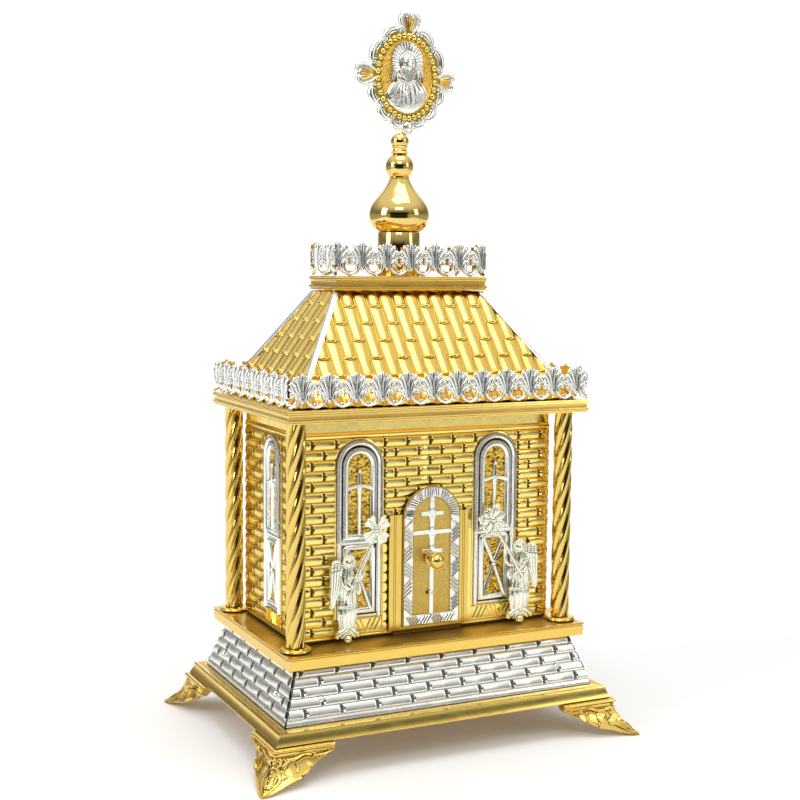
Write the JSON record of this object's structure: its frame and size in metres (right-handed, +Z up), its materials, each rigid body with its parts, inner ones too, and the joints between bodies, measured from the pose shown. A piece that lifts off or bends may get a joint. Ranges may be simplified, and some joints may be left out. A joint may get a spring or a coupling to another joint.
{
  "type": "reliquary",
  "caption": "Church-shaped gilt and silvered reliquary with brick-embossed walls, twisted corner columns, tiled hip roof, drawer with arched door plate, and an onion dome with a medallion.",
  "frame": {"origin": "on the resting surface at the middle of the footprint", "axes": "+Z up, -Y out of the front wall with the drawer, +X to the right as seen from the front"},
  "size_m": [0.2578, 0.1918, 0.4551],
  "materials": {
    "gilt": "gilt, semi-polished, darkened in the recesses",
    "gilt_polished": "gilt, polished",
    "silvered": "silvered brass, polished relief with darkened recesses"
  },
  "bodies": {
    "house": {"foot_front_left": "gilt", "foot_front_right": "gilt", "foot_back_left": "gilt", "foot_back_right": "gilt", "base_frame": "gilt", "plinth_core": "gilt", "plinth_panel_front": "silvered", "screw_front_1": "silvered", "screw_front_2": "silvered", "plinth_panel_back": "silvered", "screw_back_1": "silvered", "screw_back_2": "silvered", "plinth_panel_left": "silvered", "screw_left_1": "silvered", "screw_left_2": "silvered", "plinth_panel_right": "silvered", "screw_right_1": "silvered", "screw_right_2": "silvered", "ledge": "gilt", "column_disc_front_left": "gilt", "column_front_left": "gilt", "column_disc_front_right": "gilt", "column_front_right": "gilt", "column_disc_back_left": "gilt", "column_back_left": "gilt", "column_disc_back_right": "gilt", "column_back_right": "gilt", "wall_front": "gilt", "wall_back": "gilt", "wall_left": "gilt", "wall_right": "gilt", "angel_left": "silvered", "angel_right": "silvered", "eaves_frame": "gilt", "roof_front": "gilt", "roof_back": "gilt", "roof_left": "gilt", "roof_right": "gilt", "hip_front_left": "silvered", "hip_front_right": "silvered", "hip_back_left": "silvered", "hip_back_right": "silvered", "eaves_cresting_front": "silvered", "eaves_cresting_back": "silvered", "eaves_cresting_left": "silvered", "eaves_cresting_right": "silvered", "top_frame": "gilt", "top_cresting_front": "silvered", "top_cresting_back": "silvered", "top_cresting_left": "silvered", "top_cresting_right": "silvered", "drum": "gilt_polished", "onion_dome": "gilt_polished", "finial_stem": "gilt_polished", "medallion": "silvered"},
    "drawer": {"drawer_box": "gilt", "drawer_front": "gilt", "door_plate": "silvered", "knob": "gilt_polished", "door_rivet": "silvered"}
  },
  "joints": [
    {"name": "drawer", "type": "slide", "parent": "house", "child": "drawer", "axis": [0, -1, 0], "range_m": [0, 0.065]}
  ]
}
